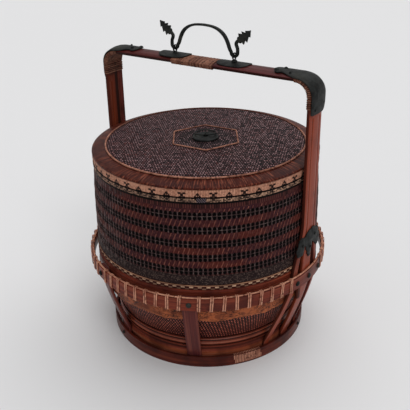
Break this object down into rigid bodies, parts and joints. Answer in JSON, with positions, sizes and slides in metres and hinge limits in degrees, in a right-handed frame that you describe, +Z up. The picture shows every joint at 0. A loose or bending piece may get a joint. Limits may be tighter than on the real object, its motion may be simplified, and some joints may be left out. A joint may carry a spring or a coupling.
{
  "type": "tiered food basket",
  "caption": "Round woven bamboo basket in a carrying stand: a lidded drum over a fixed bowl tier, with a bent bamboo handle and an iron bail that swings on top.",
  "frame": {"origin": "on the floor, below the middle of the foot hoop", "axes": "+Z up; the handle's bar runs along X; the camera of the picture looks from +X and -Y"},
  "size_m": [0.342, 0.3398, 0.4313],
  "materials": {
    "red_brown_bamboo": "red-brown lacquered split bamboo",
    "dark_bamboo": "dark bare bamboo",
    "lacquered_hoop": "bent bamboo hoop, worn red-brown lacquer",
    "foot_hoop_bamboo": "dark red-brown bamboo, dull gloss",
    "glossy_lacquer": "glossy red-brown lacquer",
    "orange_brown_bamboo": "orange-brown bamboo skin",
    "purple_brown_weave": "fine dark bamboo weave",
    "tan_border": "tan splits woven with dark motifs",
    "light_cane": "peeled cane, light salmon tan",
    "forged_iron": "forged iron, near black"
  },
  "bodies": {
    "stand": {"foot_hoop": "foot_hoop_bamboo", "foot_binding": "light_cane", "base_hoop_lower": "lacquered_hoop", "base_hoop_upper": "lacquered_hoop", "cradle_hoop": "lacquered_hoop", "hoop_edge_cane": "light_cane", "hoop_lashing": "light_cane", "strap_front": "red_brown_bamboo", "strap_front_left": "red_brown_bamboo", "strap_rear": "red_brown_bamboo", "strap_rear_right": "red_brown_bamboo", "tongue_wedge_left": "dark_bamboo", "tongue_wedge_right": "dark_bamboo", "hoop_nail_1": "forged_iron", "hoop_nail_2": "forged_iron", "hoop_nail_3": "forged_iron", "hoop_nail_4": "forged_iron", "hoop_nail_5": "forged_iron", "hoop_nail_6": "forged_iron", "hoop_nail_7": "forged_iron", "hoop_nail_8": "forged_iron", "hoop_nail_9": "forged_iron", "hoop_nail_10": "forged_iron", "lower_tier_wall": "purple_brown_weave", "lower_tier_floor": "purple_brown_weave", "lower_tier_apron": "orange_brown_bamboo", "lower_tier_rim": "lacquered_hoop", "lower_tier_collar": "dark_bamboo", "handle_culm": "red_brown_bamboo", "corner_mount_left": "forged_iron", "corner_mount_right": "forged_iron", "corner_binding_left": "light_cane", "corner_binding_right": "light_cane", "cloud_mount_left": "forged_iron", "cloud_mount_right": "forged_iron", "bail_plate_left": "forged_iron", "bail_plate_right": "forged_iron", "bail_eye_left": "forged_iron", "bail_eye_right": "forged_iron", "grip_binding": "light_cane"},
    "tier": {"tier_foot_rim": "lacquered_hoop", "tier_border": "tan_border", "tier_wall": "purple_brown_weave", "tier_top_rim": "tan_border", "tier_inner_collar": "dark_bamboo", "tier_floor": "purple_brown_weave"},
    "lid": {"lid_border_band": "tan_border", "lid_shoulder": "glossy_lacquer", "lid_panel": "purple_brown_weave", "lid_rim_cane": "light_cane", "lid_hexagon_cane": "light_cane", "lid_rosette": "forged_iron", "lid_staple": "forged_iron"},
    "drop_ring": {"drop_ring": "forged_iron"},
    "bail": {"bail": "forged_iron"}
  },
  "joints": [
    {"name": "tier_lift", "type": "slide", "parent": "stand", "child": "tier", "axis": [0, 0, 1], "range_m": [0, 0.028]},
    {"name": "lid_lift", "type": "slide", "parent": "tier", "child": "lid", "axis": [0, 0, 1], "range_m": [0, 0.04]},
    {"name": "drop_ring_turn", "type": "hinge", "parent": "lid", "child": "drop_ring", "pos_m": [0, 0, 0.2821], "axis": [0.809, 0.5878, 0], "range_deg": [0, 180]},
    {"name": "bail_swing", "type": "hinge", "parent": "stand", "child": "bail", "pos_m": [0, 0, 0.3951], "axis": [1, 0, 0], "range_deg": [-100, 100]}
  ]
}
